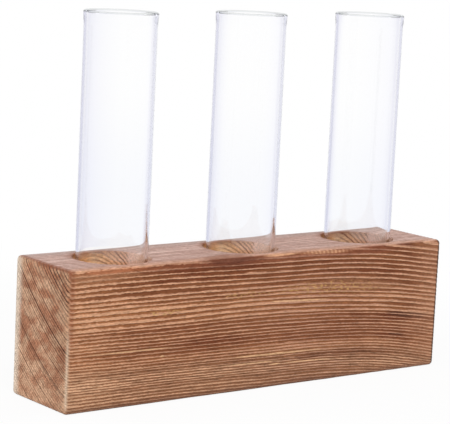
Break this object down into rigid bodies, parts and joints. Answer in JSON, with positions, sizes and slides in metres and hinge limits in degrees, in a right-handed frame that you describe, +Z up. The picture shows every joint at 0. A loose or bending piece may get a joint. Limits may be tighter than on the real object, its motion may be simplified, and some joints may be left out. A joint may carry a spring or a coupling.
{
  "type": "test tube vase",
  "caption": "Free-standing block of scorched, brushed softwood with a row of blind bores, each holding a loose clear glass test tube for flower stems.",
  "frame": {"origin": "middle of the block's underside, on the surface that the vase stands on", "axes": "+Z up, along the tubes; +X along the block; -Y is the front face"},
  "size_m": [0.254, 0.0516, 0.2018],
  "materials": {
    "scorched_wood": "scorched and wire-brushed softwood, matt, with raised growth rings",
    "clear_glass": "clear, smooth, fire-polished rim"
  },
  "bodies": {
    "block": {"wooden_block": "scorched_wood"},
    "tube_left": {"glass_tube_left": "clear_glass"},
    "tube_middle": {"glass_tube_middle": "clear_glass"},
    "tube_right": {"glass_tube_right": "clear_glass"}
  },
  "joints": [
    {"name": "tube_left_lift", "type": "slide", "parent": "block", "child": "tube_left", "axis": [0, 0, 1], "range_m": [0, 0.065]},
    {"name": "tube_middle_lift", "type": "slide", "parent": "block", "child": "tube_middle", "axis": [0, 0, 1], "range_m": [0, 0.065]},
    {"name": "tube_right_lift", "type": "slide", "parent": "block", "child": "tube_right", "axis": [0, 0, 1], "range_m": [0, 0.065]}
  ]
}
